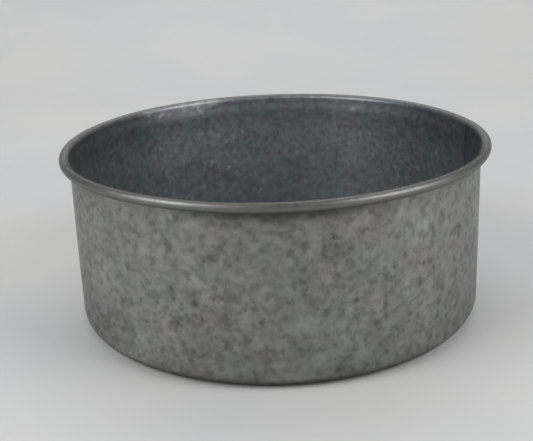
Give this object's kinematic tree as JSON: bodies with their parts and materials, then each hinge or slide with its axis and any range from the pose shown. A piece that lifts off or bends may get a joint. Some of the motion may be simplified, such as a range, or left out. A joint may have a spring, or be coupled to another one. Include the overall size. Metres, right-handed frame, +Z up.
{
  "type": "oil drain pan",
  "caption": "Round galvanised steel drain pan with an upright wall, rounded base corner and a rim curled round a wire hoop, for catching waste oil.",
  "frame": {"origin": "centre of the base, on the surface that the pan stands on", "axes": "+Z up, out of the mouth, along the axis of the round wall; X and Y are alike"},
  "size_m": [0.3619, 0.362, 0.1485],
  "materials": {
    "galvanised_sheet": "hot-dip galvanised with a fine dull spangle, satin",
    "rim_wire_steel": "plain drawn steel wire, satin"
  },
  "bodies": {
    "root": {"pan_shell": "galvanised_sheet", "rim_wire": "rim_wire_steel"}
  },
  "joints": []
}
